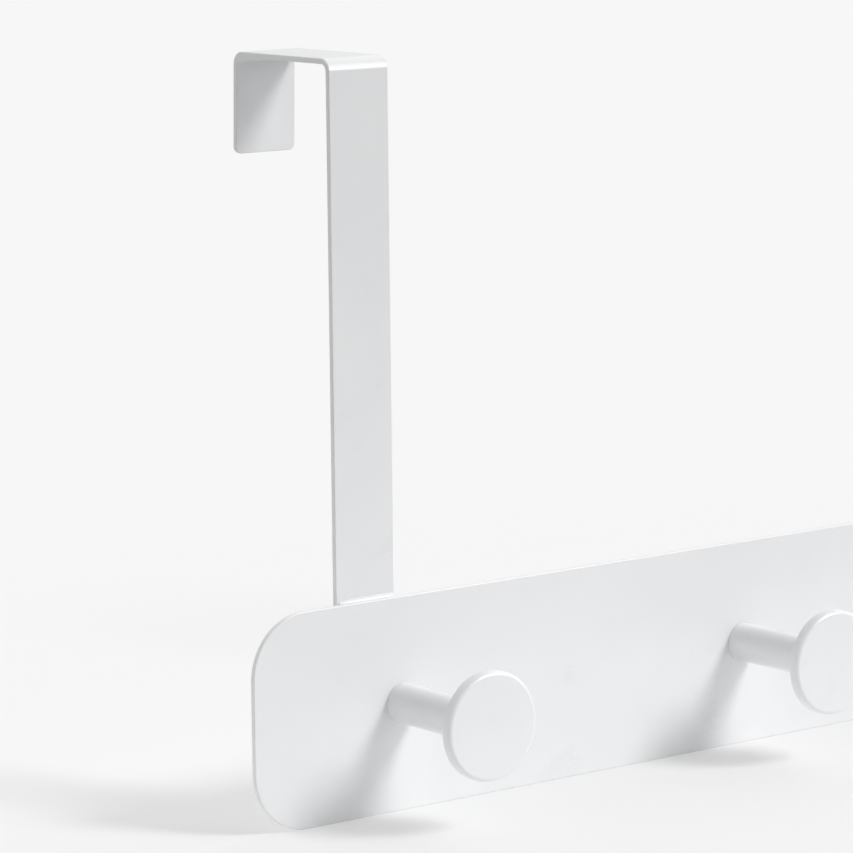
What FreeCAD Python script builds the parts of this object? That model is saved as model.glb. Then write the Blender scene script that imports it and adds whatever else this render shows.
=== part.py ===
import FreeCAD, Part
import math
import os

# Over-door hook rail: a flat steel plate hung from two bent straps, with three round-headed pegs.
# Millimetres, +Z up, front towards -Y, X = 0 at the middle of the rail.
# The straps' backs lie in Y = 0, the door's front face, and the undersides of their arms in Z = 0,
# the door's top, so the origin is the middle of the door's top front edge.

# Door
door_thickness = 50.0
door_clearance = 0.8

# Rail plate
plate_length = 442.4
plate_height = 75.6
plate_thickness = 2.0
plate_corner_radius = 22.0
plate_edge_break = 0.4

# Straps, each one strip of flat bar
strap_width = 25.0
strap_thickness = 2.0
strap_inset = 49.0              # middle of a strap, in from the plate's end
strap_rise = 184.0              # plate's top edge to the door's top
strap_bend_radius = 2.5         # inside of both bends
flange_drop = 35.5              # arm's top to the flange's lower edge
flange_splay = 1.7              # degrees that the flange leans out from the door
strap_corner_radius = 2.5
strap_edge_break = 0.4

# Spot welds between a strap's foot and the plate
spot_weld_diameter = 5.0
spot_weld_floor = 4.0           # across the mark's flat floor
spot_weld_depth = 0.3
spot_weld_spacing = 12.0

# Weld beads where the straps rise from the plate's top edge
bead_radius = 1.4
bead_end_margin = 0.5           # bead's end to the strap's side

# Pegs
peg_inset = 63.2                # middle of an outer peg, in from the plate's end
peg_drop = 37.6                 # plate's top edge down to the pegs' axis
peg_projection = 49.8           # plate's front to the disc's face
stem_diameter = 14.0
neck_fillet = 1.2               # between the stem and the disc's back
disc_diameter = 38.0
disc_thickness = 4.0
disc_face_round = 1.6
disc_back_round = 0.5
round_steps = 2                 # flat steps that each round is drawn in

# Peg screws, put in from behind the plate
screw_diameter = 4.0
screw_grip = 8.0                # length of the screw inside the peg
screw_tip_chamfer = 0.6
screw_head_diameter = 9.0
screw_head_bevel = 0.5
recess_span = 4.2
recess_slot = 0.9
recess_depth = 0.9
recess_taper = 0.55             # share of the recess's mouth left at its floor
drill_point_angle = 118.0

# Clearances between pieces
screw_to_door_gap = 0.4         # screw's head to the door's face
screw_to_strap_gap = 4.0        # screw's head to the strap's foot
plate_hole_clearance = 0.25     # round the screw, in the plate
thread_clearance = 0.05         # round the screw, in the peg
thread_end_gap = 2.0            # past the screw's tip

# Places that follow from these sizes
slot_depth = door_thickness + door_clearance
plate_back = -strap_thickness
plate_front = plate_back - plate_thickness
plate_top = -strap_rise
peg_z = plate_top - peg_drop
strap_x = plate_length / 2 - strap_inset
peg_x = plate_length / 2 - peg_inset
strap_lap = peg_drop - screw_head_diameter / 2 - screw_to_strap_gap
strap_foot = plate_top - strap_lap

strap_places = {"left": -strap_x, "right": strap_x}
peg_places = {"left": -peg_x, "middle": 0.0, "right": peg_x}

ALONG_X = FreeCAD.Vector(1, 0, 0)
ALONG_Y = FreeCAD.Vector(0, 1, 0)
ORIGIN = FreeCAD.Vector(0, 0, 0)


def is_straight_along(edge, direction):
    """True for a straight edge that runs along the direction."""
    if edge.Curve.TypeId != "Part::GeomLine":
        return False
    return abs(edge.Curve.Direction.dot(direction)) > 1 - 1e-6


def through_hole(radius, x, z):
    """Cylinder along Y that passes right through the plate."""
    start = FreeCAD.Vector(x, plate_front - plate_thickness, z)
    return Part.makeCylinder(radius, 3 * plate_thickness, start, ALONG_Y)


def rail_plate():
    """Flat plate with round corners, broken edges and a hole behind each peg."""
    corner = FreeCAD.Vector(-plate_length / 2, plate_front, plate_top - plate_height)
    blank = Part.makeBox(plate_length, plate_thickness, plate_height, corner)
    corners = [edge for edge in blank.Edges if is_straight_along(edge, ALONG_Y)]
    plate = blank.makeFillet(plate_corner_radius, corners)
    outline = [edge for edge in plate.Edges if not is_straight_along(edge, ALONG_Y)]
    plate = plate.makeChamfer(plate_edge_break, outline)
    hole_radius = screw_diameter / 2 + plate_hole_clearance
    holes = [through_hole(hole_radius, x, peg_z) for x in peg_places.values()]
    return plate.cut(Part.makeCompound(holes))


def in_section(y, z):
    """Point of the strap's side view."""
    return FreeCAD.Vector(0, y, z)


def at_angle(centre, radius, degrees):
    """Point on a circle of the strap's side view, counted from +Y towards +Z."""
    angle = math.radians(degrees)
    return centre + in_section(math.cos(angle), math.sin(angle)) * radius


def strap_side_line(offset):
    """The strip's line from foot to flange end, lying outside its door side by the offset."""
    radius = strap_bend_radius + offset
    rear_setback = strap_bend_radius * math.tan(math.radians(90 - flange_splay) / 2)
    front_centre = in_section(strap_bend_radius, -strap_bend_radius)
    rear_centre = in_section(slot_depth - rear_setback, -strap_bend_radius)
    outward = at_angle(ORIGIN, 1.0, flange_splay)
    downward = at_angle(ORIGIN, 1.0, flange_splay - 90)
    flange_length = (flange_drop - strap_thickness) / math.cos(math.radians(flange_splay))
    flange_end = in_section(slot_depth, 0) + downward * flange_length + outward * offset

    foot = in_section(-offset, strap_foot)
    front_bend = [at_angle(front_centre, radius, degrees) for degrees in (180, 135, 90)]
    rear_bend = [at_angle(rear_centre, radius, degrees) for degrees in (90, 45 + flange_splay / 2, flange_splay)]
    return [
        Part.makeLine(foot, front_bend[0]),
        Part.Arc(*front_bend).toShape(),
        Part.makeLine(front_bend[2], rear_bend[0]),
        Part.Arc(*rear_bend).toShape(),
        Part.makeLine(rear_bend[2], flange_end),
    ]


def spot_weld_marks():
    """Shallow cones that press the electrode's marks into the back of a strap's foot."""
    lap_middle = plate_top - strap_lap / 2
    marks = []
    for side in (-1, 1):
        centre = in_section(0, lap_middle + side * spot_weld_spacing / 2)
        mark = Part.makeCone(spot_weld_diameter / 2, spot_weld_floor / 2, spot_weld_depth, centre, -ALONG_Y)
        marks.append(mark)
    return Part.makeCompound(marks)


def strap(x):
    """One strip of flat bar, bent over the door: foot, front leg, arm and rear flange."""
    door_side = strap_side_line(0)
    outer_side = strap_side_line(strap_thickness)
    foot_edge = Part.makeLine(outer_side[0].Vertexes[0].Point, door_side[0].Vertexes[0].Point)
    flange_edge = Part.makeLine(door_side[-1].Vertexes[-1].Point, outer_side[-1].Vertexes[-1].Point)
    outline = Part.Wire(Part.__sortEdges__(door_side + outer_side + [foot_edge, flange_edge]))
    strip = Part.Face(outline).extrude(ALONG_X * strap_width)

    flange_across = at_angle(ORIGIN, 1.0, flange_splay)
    foot_corners = [edge for edge in strip.Edges if is_straight_along(edge, ALONG_Y)
                    and edge.Length < 2 * strap_thickness and edge.CenterOfMass.z < plate_top]
    flange_corners = [edge for edge in strip.Edges if is_straight_along(edge, flange_across)
                      and edge.CenterOfMass.y > slot_depth]
    strip = strip.makeFillet(strap_corner_radius, foot_corners + flange_corners)

    bend_lines = [edge for edge in strip.Edges if is_straight_along(edge, ALONG_X)
                  and edge.CenterOfMass.z > -2 * strap_bend_radius]
    across = [edge for edge in strip.Edges if is_straight_along(edge, ALONG_Y)
              and edge.Length < 2 * strap_thickness or is_straight_along(edge, flange_across)]
    kept_sharp = {edge.hashCode() for edge in bend_lines + across}
    long_edges = [edge for edge in strip.Edges if edge.hashCode() not in kept_sharp]
    strip = strip.makeChamfer(strap_edge_break, long_edges)
    strip = strip.cut(spot_weld_marks().translated(ALONG_X * (strap_width / 2)))
    return strip.translated(ALONG_X * (x - strap_width / 2))


def weld_bead(x, plate):
    """Quarter-round bead with round ends, in the corner of a strap's front and the plate's top."""
    half_run = strap_width / 2 - bead_end_margin - bead_radius
    start = FreeCAD.Vector(x - half_run, plate_back, plate_top)
    end = FreeCAD.Vector(x + half_run, plate_back, plate_top)
    rod = Part.makeCylinder(bead_radius, 2 * half_run, start, ALONG_X)
    rod = rod.fuse([Part.makeSphere(bead_radius, start), Part.makeSphere(bead_radius, end)])
    below = plate_top - plate_edge_break
    front_low = FreeCAD.Vector(x - strap_width / 2, plate_back - 2 * bead_radius, below)
    corner = Part.makeBox(strap_width, 2 * bead_radius, 2 * bead_radius, front_low)
    return rod.common(corner).cut(plate).removeSplitter()


def turned(half_section, place):
    """Solid of revolution about an axis along Y, from the (radius, y) corners of its half section."""
    corners = [FreeCAD.Vector(radius, y, 0) for radius, y in half_section]
    face = Part.Face(Part.makePolygon(corners + [corners[0]]))
    return face.revolve(ORIGIN, ALONG_Y, 360).translated(place)


def stepped_round(centre, radius, start, end):
    """Corners of a round drawn in equal flat steps, between two angles in degrees."""
    corners = []
    for step in range(round_steps + 1):
        angle = math.radians(start + (end - start) * step / round_steps)
        corners.append((centre[0] + radius * math.cos(angle), centre[1] + radius * math.sin(angle)))
    return corners


def peg(x):
    """Turned peg: plain stem and round disc, tapped from its foot."""
    stem_radius = stem_diameter / 2
    disc_radius = disc_diameter / 2
    disc_back = disc_thickness - peg_projection
    neck_centre = (stem_radius + neck_fillet, disc_back + neck_fillet)
    back_centre = (disc_radius - disc_back_round, disc_back - disc_back_round)
    face_centre = (disc_radius - disc_face_round, disc_face_round - peg_projection)
    half_section = [(0, 0), (stem_radius, 0)]
    half_section += stepped_round(neck_centre, neck_fillet, 180, 270)
    half_section += stepped_round(back_centre, disc_back_round, 90, 0)
    half_section += stepped_round(face_centre, disc_face_round, 0, -90)
    half_section += [(0, -peg_projection)]
    body = turned(half_section, ORIGIN)

    bore_radius = screw_diameter / 2 + thread_clearance
    bore_depth = screw_grip + thread_end_gap
    point_height = bore_radius / math.tan(math.radians(drill_point_angle / 2))
    bore = Part.makeCylinder(bore_radius, bore_depth, ORIGIN, -ALONG_Y)
    drill_point = Part.makeCone(bore_radius, 0, point_height, -ALONG_Y * bore_depth, -ALONG_Y)
    return body.cut(bore.fuse(drill_point)).translated(FreeCAD.Vector(x, plate_front, peg_z))


def cross_outline(span, slot, y):
    """Wire of an equal-armed cross, square to Y."""
    far = span / 2
    near = slot / 2
    quarter_turn = [(far, -near), (far, near), (near, near)]
    corners = []
    for turn in range(4):
        for a, b in quarter_turn:
            for _ in range(turn):
                a, b = -b, a
            corners.append(FreeCAD.Vector(a, y, b))
    return Part.makePolygon(corners + [corners[0]])


def peg_screw(x):
    """Flat-headed machine screw with a cross recess, its head on the plate's back."""
    head_height = strap_thickness - screw_to_door_gap
    head_radius = screw_head_diameter / 2
    shank_radius = screw_diameter / 2
    tip = -plate_thickness - screw_grip
    place = FreeCAD.Vector(x, plate_back, peg_z)
    screw = turned([
        (0, head_height),
        (head_radius - screw_head_bevel, head_height),
        (head_radius, head_height - screw_head_bevel),
        (head_radius, 0),
        (shank_radius, 0),
        (shank_radius, tip + screw_tip_chamfer),
        (shank_radius - screw_tip_chamfer, tip),
        (0, tip),
    ], place)

    mouth = cross_outline(recess_span, recess_slot, head_height)
    floor = cross_outline(recess_span * recess_taper, recess_slot * recess_taper, head_height - recess_depth)
    recess = Part.makeLoft([mouth, floor], True, True)
    return screw.cut(recess.translated(place))


def build():
    """Every piece of the rail, by node name."""
    plate = rail_plate()
    pieces = {"rail_plate": plate}
    for side, x in strap_places.items():
        pieces["strap_" + side] = strap(x)
        pieces["weld_bead_" + side] = weld_bead(x, plate)
    for place, x in peg_places.items():
        pieces["peg_" + place] = peg(x)
        pieces["peg_screw_" + place] = peg_screw(x)
    return pieces


os.makedirs("parts", exist_ok=True)
for name, piece in build().items():
    solid = piece.Solids[0]
    solid.exportStep(os.path.join("parts", name + ".step"))
    state = "valid" if solid.isValid() and len(piece.Solids) == 1 else "not one valid solid"
    print(name, state, "volume", round(solid.Volume, 1), "mm3")
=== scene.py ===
import math

import bmesh
import bpy
from mathutils import Matrix, Vector


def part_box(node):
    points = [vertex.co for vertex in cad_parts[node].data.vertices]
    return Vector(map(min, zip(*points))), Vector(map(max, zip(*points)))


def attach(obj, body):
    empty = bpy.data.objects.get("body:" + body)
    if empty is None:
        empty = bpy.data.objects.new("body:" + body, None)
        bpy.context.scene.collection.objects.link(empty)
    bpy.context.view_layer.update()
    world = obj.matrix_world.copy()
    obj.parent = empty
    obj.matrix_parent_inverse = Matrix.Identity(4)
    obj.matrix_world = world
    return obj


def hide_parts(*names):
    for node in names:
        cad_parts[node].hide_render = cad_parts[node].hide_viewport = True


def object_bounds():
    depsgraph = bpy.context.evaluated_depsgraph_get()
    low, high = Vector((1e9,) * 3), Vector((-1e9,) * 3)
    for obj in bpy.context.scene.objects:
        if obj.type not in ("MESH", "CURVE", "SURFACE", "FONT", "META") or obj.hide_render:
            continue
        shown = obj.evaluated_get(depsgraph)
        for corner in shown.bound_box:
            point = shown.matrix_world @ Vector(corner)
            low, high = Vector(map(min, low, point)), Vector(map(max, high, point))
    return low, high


# Over-door hook rail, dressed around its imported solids. Metres, +Z up, front towards -Y.

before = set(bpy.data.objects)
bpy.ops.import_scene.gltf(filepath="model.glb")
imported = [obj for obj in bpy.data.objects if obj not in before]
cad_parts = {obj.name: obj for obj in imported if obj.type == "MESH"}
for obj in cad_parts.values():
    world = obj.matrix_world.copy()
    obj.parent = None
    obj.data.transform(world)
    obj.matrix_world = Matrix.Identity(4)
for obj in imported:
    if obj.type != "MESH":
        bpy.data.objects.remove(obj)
cad_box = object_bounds()

# Sizes of the object's forms, in metres
mm = 0.001
plate_corner_radius = 22.0 * mm
plate_edge_round = 0.45 * mm
strap_corner_radius = 2.5 * mm
strap_edge_round = 0.4 * mm
strap_bend_radius = 2.5 * mm        # inside of both bends
slot_depth = 50.8 * mm              # door and its clearance
flange_splay = math.radians(1.7)
flange_drop = 35.5 * mm            # arm's top to the flange's lower edge
spot_weld_radius = 2.5 * mm
spot_weld_floor_radius = 2.0 * mm
spot_weld_depth = 0.3 * mm
spot_weld_spacing = 12.0 * mm
plate_hole_radius = 2.25 * mm
stem_radius = 7.0 * mm
stem_foot_round = 0.3 * mm
neck_fillet = 1.2 * mm
disc_thickness = 4.0 * mm
disc_face_round = 1.6 * mm
disc_back_round = 0.5 * mm
bore_radius = 2.05 * mm
bore_depth = 10.0 * mm
drill_point_height = 1.23 * mm
bead_start_length = 10.0 * mm       # over which the bead grows to its full size
bead_start_share = 0.4              # missing from its radius at the start
bead_wander_pitch = 5.3 * mm
bead_wander_share = 0.05
bead_rings = 36
bead_end_share = 0.96               # of its radius, rounded off at each end
bead_trim = 0.02 * mm               # how far its back is cut into the strap, and its foot above the solid's

# Tolerances and turns that tell a mesh's parts apart
merge_distance = 0.001 * mm
close_enough = 0.01 * mm
sharp_turn = math.radians(50)
smooth_turn = math.radians(35)

# Camera, as fitted to the photograph
picture_size = 853
sensor_width = 36.0                 # millimetres, on Blender's camera
focal_pixels = 4334.5
camera_azimuth = math.radians(-38.015)
camera_elevation = math.radians(8.892)
camera_roll = math.radians(-0.625)
aim_pixel = (254.73, 730.05)        # where the plate's left end shows, at mid height of its front
aim_distance = 1.4598

# Light
sun_travel = (-0.65, 1.0, -1.0)
sun_strength = 1.64
sun_angle = math.radians(18.0)
sky_lobes = (                       # where each soft patch of sky is centred, and how bright it is there
    ((1.0, 0.0, 0.5), 2.35),
    ((0.0, 1.0, 0.3), 1.05),
    ((-0.7, 0.7, 0.3), 0.8),
    ((-0.7, -0.7, 0.3), 0.7),
    ((-1.0, 0.0, 0.3), 0.36),
)
glint_way = (0.61, -0.70, 0.37)     # towards the lamp that only glints in the coat
glint_distance = 3.0
glint_size = 0.7
glint_strength = 40.0
backdrop_level = 0.93
floor_shade = 0.63                  # as the camera sees it, with an even part that softens its shadows
floor_even_part = 0.25
floor_bounce = 0.85                 # share of the light that the floor throws up near the rail
near_floor_radius = 0.3
far_floor_radius = 0.7
glow_radius = 3.0                   # out to where the floor glows like a lit studio floor
glow_fade = 0.1
near_glow_level = 0.13
far_glow_level = 0.3
floor_half_width = 40.0

ALONG_X = Vector((1, 0, 0))
ALONG_Y = Vector((0, 1, 0))
ALONG_Z = Vector((0, 0, 1))


class Value:
    """A shader socket that Python's arithmetic works on."""

    def __init__(self, shader, socket):
        self.shader = shader
        self.socket = socket

    def combine(self, operation, first, second):
        """Adds the Math node that works on two values."""
        return self.shader.node("ShaderNodeMath", {"operation": operation}, {0: first, 1: second})

    def __add__(self, other):
        return self.combine("ADD", self, other)

    def __radd__(self, other):
        return self.combine("ADD", other, self)

    def __sub__(self, other):
        return self.combine("SUBTRACT", self, other)

    def __rsub__(self, other):
        return self.combine("SUBTRACT", other, self)

    def __mul__(self, other):
        return self.combine("MULTIPLY", self, other)

    def __rmul__(self, other):
        return self.combine("MULTIPLY", other, self)

    def above_zero(self):
        """The value where it is positive, and zero elsewhere."""
        return self.combine("MAXIMUM", self, 0.0)


class Shader:
    """The node tree of a material or world, with one method that adds any node."""

    def __init__(self, owner):
        owner.use_nodes = True
        self.tree = owner.node_tree
        self.tree.nodes.clear()

    def node(self, kind, settings=None, inputs=None, output=0):
        """Adds a node: its settings first, then its sockets' values or links. Gives one output."""
        node = self.tree.nodes.new(kind)
        for name, setting in (settings or {}).items():
            setattr(node, name, setting)
        for name, value in (inputs or {}).items():
            if isinstance(value, Value):
                self.tree.links.new(value.socket, node.inputs[name])
            else:
                node.inputs[name].default_value = value
        return Value(self, node.outputs[output]) if len(node.outputs) else None

    def mix(self, factor, first, second):
        """Colour between two colours."""
        settings = {"data_type": "RGBA"}
        return self.node("ShaderNodeMix", settings, {0: factor, 6: first, 7: second}, 2)

    def noise(self, place, scale, detail=2.0, roughness=0.5):
        """Soft random value from 0 to 1, whose features are about 1 / scale metres across."""
        inputs = {"Vector": place, "Scale": scale, "Detail": detail, "Roughness": roughness}
        return self.node("ShaderNodeTexNoise", None, inputs)

    def remap(self, value, low, high, new_low, new_high):
        """Value carried from one range to another and kept inside it."""
        inputs = {"Value": value, "From Min": low, "From Max": high, "To Min": new_low, "To Max": new_high}
        return self.node("ShaderNodeMapRange", {"clamp": True}, inputs)

    def glow(self, level):
        """Even white glow."""
        return self.node("ShaderNodeEmission", None, {"Color": (1, 1, 1, 1), "Strength": level})

    def matt(self, shade, level):
        """Matt grey surface with an even glow on top."""
        plain = self.node("ShaderNodeBsdfDiffuse", None, {"Color": (shade,) * 3 + (1,)})
        return self.node("ShaderNodeAddShader", None, {0: plain, 1: self.glow(level)})

    def blend(self, factor, first, second):
        """Surface between two surfaces."""
        return self.node("ShaderNodeMixShader", None, {0: factor, 1: first, 2: second})

    def surface(self, **sockets):
        """Ends the tree in one principled surface."""
        inputs = {name.replace("_", " "): value for name, value in sockets.items()}
        principled = self.node("ShaderNodeBsdfPrincipled", None, inputs)
        self.node("ShaderNodeOutputMaterial", None, {"Surface": principled})


def white_powder_coat():
    """Satin white powder coat: faint orange peel, a little film variation and fine cured grain."""
    material = bpy.data.materials.new("white_powder_coat")
    shader = Shader(material)
    place = shader.node("ShaderNodeTexCoord", output=3)
    film = shader.noise(place, 28.0, 3.0)
    peel = shader.noise(place, 620.0, 1.5, 0.45)
    grain = shader.noise(place, 2600.0, 2.0, 0.6)

    film_share = shader.remap(film, 0.3, 0.7, 0.0, 1.0)
    colour = shader.mix(film_share, (0.795, 0.801, 0.811, 1), (0.812, 0.816, 0.824, 1))
    roughness = shader.remap(film, 0.3, 0.7, 0.27, 0.33) + (grain - 0.5) * 0.06
    height = peel * 1.0 + grain * 0.12
    bumped = shader.node("ShaderNodeBump", None, {"Strength": 0.35, "Distance": 0.00004, "Height": height})
    shader.surface(Base_Color=colour, Roughness=roughness, Normal=bumped, IOR=1.5)
    return material


def zinc_plated_steel():
    """Zinc-plated screw steel: a cool metal with soft passivated patches and fine turning marks."""
    material = bpy.data.materials.new("zinc_plated_steel")
    shader = Shader(material)
    place = shader.node("ShaderNodeTexCoord", output=3)
    patches = shader.noise(place, 420.0, 3.0)
    scratches = shader.noise(place, 3200.0, 2.0, 0.7)
    share = shader.remap(patches, 0.35, 0.65, 0.0, 1.0)
    colour = shader.mix(share, (0.56, 0.57, 0.58, 1), (0.68, 0.68, 0.67, 1))
    roughness = shader.remap(patches, 0.3, 0.7, 0.26, 0.40) + (scratches - 0.5) * 0.1
    bumped = shader.node("ShaderNodeBump", None, {"Strength": 0.4, "Distance": 0.00002, "Height": scratches})
    shader.surface(Base_Color=colour, Metallic=1.0, Roughness=roughness, Normal=bumped)
    return material


def pale_floor():
    """Matt white studio floor round the rail that fades into the backdrop, and glows a little upwards."""
    material = bpy.data.materials.new("pale_floor")
    shader = Shader(material)
    place = shader.node("ShaderNodeTexCoord", output=3)
    reach = shader.node("ShaderNodeVectorMath", {"operation": "LENGTH"}, {0: place}, 1)
    far_share = shader.remap(reach, near_floor_radius, far_floor_radius, 0.0, 1.0)
    dark_share = shader.remap(reach, glow_radius, glow_radius + glow_fade, 0.0, 1.0)

    far_glow = shader.blend(dark_share, shader.glow(far_glow_level), shader.glow(0.0))
    thrown = shader.blend(far_share, shader.matt(floor_bounce, near_glow_level), far_glow)
    shown = shader.blend(far_share, shader.matt(floor_shade, floor_even_part), shader.glow(backdrop_level))
    camera_ray = shader.node("ShaderNodeLightPath")
    looks = shader.blend(camera_ray, thrown, shown)
    shader.node("ShaderNodeOutputMaterial", None, {"Surface": looks})
    material.cycles.emission_sampling = "NONE"
    return material


def angle_between_faces(edge):
    """Angle at an edge in radians, 0 where it is flat or open."""
    return edge.calc_face_angle(0.0)


def sharp_edges(mesh):
    """Edges that turn by more than a gentle curve's step."""
    return [edge for edge in mesh.edges if angle_between_faces(edge) > sharp_turn]


def round_edges(mesh, edges, radius, segments):
    """Rounds edges to a radius."""
    bmesh.ops.bevel(mesh, geom=edges, offset=radius, offset_type="OFFSET", segments=segments,
                    affect="EDGES", profile=0.5, material=-1)


def finish_piece(mesh, name, material, nodes):
    """Makes a bmesh into a piece that rides with the rail and stands for its nodes."""
    bmesh.ops.remove_doubles(mesh, verts=mesh.verts, dist=merge_distance)
    bmesh.ops.recalc_face_normals(mesh, faces=mesh.faces)
    for face in mesh.faces:
        face.smooth = True
    for edge in mesh.edges:
        edge.smooth = angle_between_faces(edge) < smooth_turn
    data = bpy.data.meshes.new(name)
    mesh.to_mesh(data)
    mesh.free()
    data.materials.append(material)
    piece = bpy.data.objects.new(name, data)
    bpy.context.scene.collection.objects.link(piece)
    weighted = piece.modifiers.new("flat_faces_stay_flat", "WEIGHTED_NORMAL")
    weighted.keep_sharp = True
    weighted.weight = 100
    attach(piece, "root")
    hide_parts(*nodes)
    return piece


def circle_edges(mesh, centre, radius, segments=48):
    """Circle of loose edges that faces along Y."""
    place = Matrix.Translation(centre) @ Matrix.Rotation(math.radians(90), 4, "X")
    made = bmesh.ops.create_circle(mesh, cap_ends=False, segments=segments, radius=radius, matrix=place)
    return list({edge for vert in made["verts"] for edge in vert.link_edges})


def open_face(mesh, face, centres, radius):
    """Cuts round holes into a flat face that is square to Y, and gives each hole's edges."""
    outline = list(face.edges)
    normal = face.normal.copy()
    bmesh.ops.delete(mesh, geom=[face], context="FACES_ONLY")
    rings = [circle_edges(mesh, centre, radius) for centre in centres]
    bounds = outline + [edge for ring in rings for edge in ring]
    bmesh.ops.triangle_fill(mesh, use_beauty=True, use_dissolve=False, edges=bounds, normal=normal)
    return rings


def face_at(mesh, normal, place):
    """Largest flat face with this normal whose middle lies nearest the place."""
    fitting = [face for face in mesh.faces if face.normal.dot(normal) > 0.999]
    largest = max(face.calc_area() for face in fitting)
    wide = [face for face in fitting if face.calc_area() > 0.2 * largest]
    return min(wide, key=lambda face: (face.calc_center_median() - place).length)


def rail_plate(material):
    """Flat plate with round corners, rounded edges and a hole behind each peg."""
    low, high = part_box("rail_plate")
    size = high - low
    middle = (low + high) / 2
    mesh = bmesh.new()
    bmesh.ops.create_cube(mesh, size=1.0)
    bmesh.ops.scale(mesh, vec=size, verts=mesh.verts)
    bmesh.ops.translate(mesh, vec=middle, verts=mesh.verts)
    corners = [edge for edge in mesh.edges if abs((edge.verts[0].co - edge.verts[1].co).y) > size.y / 2]
    round_edges(mesh, corners, plate_corner_radius, 24)
    round_edges(mesh, sharp_edges(mesh), plate_edge_round, 4)

    pegs = [sum(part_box(node), Vector()) / 2 for node in ("peg_left", "peg_middle", "peg_right")]
    rings = {}
    for y, normal in ((low.y, -ALONG_Y), (high.y, ALONG_Y)):
        mesh.normal_update()
        face = face_at(mesh, normal, Vector((middle.x, y, middle.z)))
        centres = [Vector((peg.x, y, peg.z)) for peg in pegs]
        rings[y] = open_face(mesh, face, centres, plate_hole_radius)
    for front, back in zip(rings[low.y], rings[high.y]):
        bmesh.ops.bridge_loops(mesh, edges=front + back)
    return finish_piece(mesh, "rail_plate_coated", material, ["rail_plate"])


def verts_of(parts):
    """The vertices among an operator's results."""
    return [part for part in parts if isinstance(part, bmesh.types.BMVert)]


def face_of(parts):
    """The one face among an operator's results."""
    return [part for part in parts if isinstance(part, bmesh.types.BMFace)][0]


def extruded(mesh, face):
    """Extrudes a face where it is, leaving no face inside the strip, and gives the new parts."""
    grown = bmesh.ops.extrude_face_region(mesh, geom=[face])["geom"]
    if all(len(edge.link_faces) > 2 for edge in face.edges):
        bmesh.ops.delete(mesh, geom=[face], context="FACES_ONLY")
    return grown


def pushed(mesh, face, way):
    """Extrudes a face along a vector and gives the new end face."""
    grown = extruded(mesh, face)
    bmesh.ops.translate(mesh, vec=way, verts=verts_of(grown))
    return face_of(grown)


def bent(mesh, face, centre, angle, steps=16):
    """Carries a face over a bend line along X, from upright towards +Y, and gives the new end face."""
    step_turn = Matrix.Rotation(-angle / steps, 3, "X")
    for _ in range(steps):
        grown = extruded(mesh, face)
        bmesh.ops.rotate(mesh, cent=centre, matrix=step_turn, verts=verts_of(grown))
        face = face_of(grown)
    return face


def press_marks(mesh, rings, centres):
    """Sinks each ring of edges into a shallow round mark with a flat floor."""
    for ring, centre in zip(rings, centres):
        grown = bmesh.ops.extrude_edge_only(mesh, edges=ring)["geom"]
        verts = verts_of(grown)
        share = spot_weld_floor_radius / spot_weld_radius
        bmesh.ops.scale(mesh, vec=(share, 1, share), space=Matrix.Translation(-centre), verts=verts)
        bmesh.ops.translate(mesh, vec=-ALONG_Y * spot_weld_depth, verts=verts)
        floor_edges = [part for part in grown if isinstance(part, bmesh.types.BMEdge)]
        bmesh.ops.edgeloop_fill(mesh, edges=floor_edges)


def strap(side, material):
    """One strip of flat bar, carried from its foot up the door, over it and down behind it."""
    low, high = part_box("strap_" + side)
    plate_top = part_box("rail_plate")[1].z
    thickness = high.z
    middle_x = (low.x + high.x) / 2
    mesh = bmesh.new()
    bmesh.ops.create_grid(mesh, x_segments=1, y_segments=1, size=0.5)
    bmesh.ops.scale(mesh, vec=(high.x - low.x, thickness, 1), verts=mesh.verts)
    bmesh.ops.translate(mesh, vec=(middle_x, -thickness / 2, low.z), verts=mesh.verts)

    rear_turn = math.pi / 2 - flange_splay
    setback = strap_bend_radius * math.tan(rear_turn / 2)
    front_centre = Vector((middle_x, strap_bend_radius, -strap_bend_radius))
    rear_centre = Vector((middle_x, slot_depth - setback, -strap_bend_radius))
    downward = Vector((0, math.sin(flange_splay), -math.cos(flange_splay)))
    flange_length = (flange_drop - thickness) / math.cos(flange_splay) - setback
    end = pushed(mesh, mesh.faces[:][0], ALONG_Z * (-strap_bend_radius - low.z))
    end = bent(mesh, end, front_centre, math.pi / 2)
    end = pushed(mesh, end, ALONG_Y * (rear_centre.y - strap_bend_radius))
    end = bent(mesh, end, rear_centre, rear_turn)
    pushed(mesh, end, downward * flange_length)
    bmesh.ops.recalc_face_normals(mesh, faces=mesh.faces)

    corners = [edge for edge in sharp_edges(mesh)
               if abs(edge.calc_length() - thickness) < close_enough
               and abs((edge.verts[0].co - edge.verts[1].co).x) < close_enough]
    round_edges(mesh, corners, strap_corner_radius, 8)
    round_edges(mesh, sharp_edges(mesh), strap_edge_round, 3)

    everything = mesh.verts[:] + mesh.edges[:] + mesh.faces[:]
    bmesh.ops.bisect_plane(mesh, geom=everything, plane_co=(0, 0, plate_top), plane_no=ALONG_Z)
    mesh.normal_update()
    lap_middle = Vector((middle_x, 0, (low.z + plate_top) / 2))
    face = face_at(mesh, ALONG_Y, lap_middle)
    centres = [lap_middle + ALONG_Z * way * spot_weld_spacing / 2 for way in (-1, 1)]
    rings = open_face(mesh, face, centres, spot_weld_radius)
    press_marks(mesh, rings, centres)
    return finish_piece(mesh, "strap_" + side + "_coated", material, ["strap_" + side])


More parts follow.
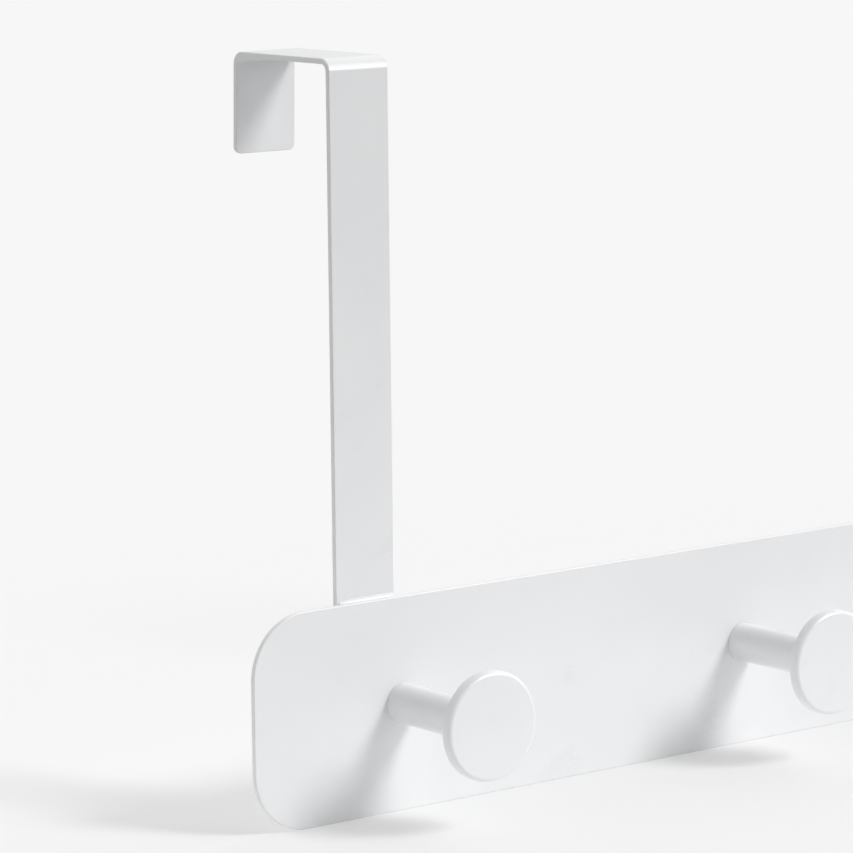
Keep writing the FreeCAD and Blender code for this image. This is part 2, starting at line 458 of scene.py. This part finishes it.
def weld_bead(side, material):
    """Smooth bead in the corner of a strap's front and the plate's top edge, slighter where it starts."""
    low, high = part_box("weld_bead_" + side)
    plate_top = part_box("rail_plate")[1].z
    radius = high.z - plate_top
    root = Vector(((low.x + high.x) / 2, high.y, plate_top))
    length = high.x - low.x
    mesh = bmesh.new()
    lie = Matrix.Translation(root) @ Matrix.Rotation(math.radians(90), 4, "Y")
    bmesh.ops.create_cone(mesh, cap_ends=True, cap_tris=False, segments=40, radius1=radius, radius2=radius,
                          depth=length, matrix=lie)
    round_edges(mesh, sharp_edges(mesh), bead_end_share * radius, 8)
    for index in range(1, bead_rings):
        x = low.x + radius + (length - 2 * radius) * index / bead_rings
        everything = mesh.verts[:] + mesh.edges[:] + mesh.faces[:]
        bmesh.ops.bisect_plane(mesh, geom=everything, plane_co=(x, 0, 0), plane_no=ALONG_X)
    for vert in mesh.verts:
        arm = vert.co - root
        arm.x = 0
        along = vert.co.x - low.x
        start = max(1 - along / bead_start_length, 0)
        wander = 0.5 - 0.5 * math.cos(2 * math.pi * along / bead_wander_pitch)
        vert.co -= arm * (bead_start_share * start ** 2 + bead_wander_share * wander)
    back = root + ALONG_Y * bead_trim
    foot = Vector((0, 0, low.z + bead_trim))
    for point, outward in ((back, ALONG_Y), (foot, -ALONG_Z)):
        everything = mesh.verts[:] + mesh.edges[:] + mesh.faces[:]
        bmesh.ops.bisect_plane(mesh, geom=everything, plane_co=point, plane_no=outward, clear_outer=True)
        bmesh.ops.holes_fill(mesh, edges=mesh.edges)
    return finish_piece(mesh, "weld_bead_" + side + "_coated", material, ["weld_bead_" + side])


def turned(mesh, half_section, steps=128):
    """Surface turned about the Y axis from the (radius, y) corners of its half section."""
    verts = [mesh.verts.new((radius, y, 0)) for radius, y in half_section]
    edges = [mesh.edges.new(pair) for pair in zip(verts, verts[1:])]
    bmesh.ops.spin(mesh, geom=verts + edges, cent=(0, 0, 0), axis=ALONG_Y, angle=2 * math.pi, steps=steps,
                   use_merge=True, use_duplicate=False)
    bmesh.ops.remove_doubles(mesh, verts=mesh.verts, dist=merge_distance)
    bmesh.ops.recalc_face_normals(mesh, faces=mesh.faces)


def round_ring(mesh, radius, y, size, segments):
    """Rounds the ring of edges at this radius and place along the Y axis."""

    def is_on_ring(vert):
        aside = abs(math.hypot(vert.co.x, vert.co.z) - radius)
        along = abs(vert.co.y - y)
        return aside < close_enough and along < close_enough

    ring = [edge for edge in mesh.edges if all(is_on_ring(vert) for vert in edge.verts)]
    round_edges(mesh, ring, size, segments)


def peg(place, material):
    """Turned peg: plain stem and flat round disc, bored from its foot for the screw."""
    low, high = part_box("peg_" + place)
    disc_radius = (high.x - low.x) / 2
    face = low.y - high.y
    disc_back = face + disc_thickness
    mesh = bmesh.new()
    turned(mesh, [
        (0, -bore_depth - drill_point_height),
        (bore_radius, -bore_depth),
        (bore_radius, 0),
        (stem_radius, 0),
        (stem_radius, disc_back),
        (disc_radius, disc_back),
        (disc_radius, face),
        (0, face),
    ])
    round_ring(mesh, stem_radius, 0, stem_foot_round, 3)
    round_ring(mesh, stem_radius, disc_back, neck_fillet, 6)
    round_ring(mesh, disc_radius, disc_back, disc_back_round, 4)
    round_ring(mesh, disc_radius, face, disc_face_round, 8)
    foot = Vector(((low.x + high.x) / 2, high.y, (low.z + high.z) / 2))
    bmesh.ops.translate(mesh, vec=foot, verts=mesh.verts)
    return finish_piece(mesh, "peg_" + place + "_coated", material, ["peg_" + place])


def floor():
    """Wide pale floor at the plate's lower edge."""
    mesh = bmesh.new()
    bmesh.ops.create_grid(mesh, x_segments=1, y_segments=1, size=floor_half_width)
    bmesh.ops.translate(mesh, vec=(0, 0, cad_box[0][2]), verts=mesh.verts)
    data = bpy.data.meshes.new("studio_floor")
    mesh.to_mesh(data)
    mesh.free()
    data.materials.append(pale_floor())
    ground = bpy.data.objects.new("studio_floor", data)
    bpy.context.scene.collection.objects.link(ground)


def studio_sky():
    """Soft light in broad patches round the horizon; the camera sees an even pale backdrop."""
    world = bpy.data.worlds.new("studio_sky")
    bpy.context.scene.world = world
    shader = Shader(world)
    direction = shader.node("ShaderNodeTexCoord", output=0)
    light = 0.0
    for aim, strength in sky_lobes:
        inputs = {0: direction, 1: Vector(aim).normalized()}
        along = shader.node("ShaderNodeVectorMath", {"operation": "DOT_PRODUCT"}, inputs, 1).above_zero()
        squared = along * along
        light = light + squared * squared * strength
    seen = shader.node("ShaderNodeLightPath")
    level = light + (backdrop_level - light) * seen
    background = shader.node("ShaderNodeBackground", None, {"Color": (1, 1, 1, 1), "Strength": level})
    shader.node("ShaderNodeOutputWorld", None, {"Surface": background})


def sun():
    """Large soft lamp from the upper right front."""
    lamp = bpy.data.lights.new("soft_lamp", "SUN")
    lamp.energy = sun_strength
    lamp.angle = sun_angle
    lit = bpy.data.objects.new("soft_lamp", lamp)
    lit.rotation_mode = "QUATERNION"
    lit.rotation_quaternion = Vector(sun_travel).to_track_quat("-Z", "Y")
    bpy.context.scene.collection.objects.link(lit)


def glint_lamp():
    """Soft box at the right front that shows only as white glints on rounded edges."""
    lamp = bpy.data.lights.new("glint_lamp", "AREA")
    lamp.shape = "DISK"
    lamp.size = glint_size
    lamp.energy = glint_strength
    lit = bpy.data.objects.new("glint_lamp", lamp)
    way = Vector(glint_way).normalized()
    lit.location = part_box("rail_plate")[0] + way * glint_distance
    lit.rotation_mode = "QUATERNION"
    lit.rotation_quaternion = (-way).to_track_quat("-Z", "Y")
    lit.visible_diffuse = False
    lit.visible_camera = False
    bpy.context.scene.collection.objects.link(lit)


def photo_camera():
    """Camera with the photograph's lens, place and roll."""
    flat = math.cos(camera_elevation)
    level_right = Vector((math.cos(camera_azimuth), math.sin(camera_azimuth), 0))
    level_back = Vector((math.sin(camera_azimuth), -math.cos(camera_azimuth), 0))
    back = level_back * flat + ALONG_Z * math.sin(camera_elevation)
    level_up = back.cross(level_right)
    right = math.cos(camera_roll) * level_right + math.sin(camera_roll) * level_up
    up = math.cos(camera_roll) * level_up - math.sin(camera_roll) * level_right
    plate_low, plate_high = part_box("rail_plate")
    aim = Vector((plate_low.x, plate_low.y, (plate_low.z + plate_high.z) / 2))
    metres_per_pixel = aim_distance / focal_pixels
    aside = (picture_size / 2 - aim_pixel[0]) * metres_per_pixel
    above = (aim_pixel[1] - picture_size / 2) * metres_per_pixel
    place = aim + right * aside + up * above + back * aim_distance

    lens = bpy.data.cameras.new("photo_camera")
    lens.sensor_width = sensor_width
    lens.lens = focal_pixels / picture_size * sensor_width
    lens.clip_start = 0.05
    lens.clip_end = 3 * floor_half_width
    camera = bpy.data.objects.new("photo_camera", lens)
    turn = Matrix((right, up, back)).transposed().to_4x4()
    camera.matrix_world = Matrix.Translation(place) @ turn
    bpy.context.scene.collection.objects.link(camera)
    bpy.context.scene.camera = camera


coat = white_powder_coat()
zinc = zinc_plated_steel()
rail_plate(coat)
for side in ("left", "right"):
    strap(side, coat)
    weld_bead(side, coat)
for place in ("left", "middle", "right"):
    peg(place, coat)
    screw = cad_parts["peg_screw_" + place]
    screw.data.materials.clear()
    screw.data.materials.append(zinc)

floor()
studio_sky()
sun()
glint_lamp()
photo_camera()
bpy.context.scene.view_settings.view_transform = "Standard"
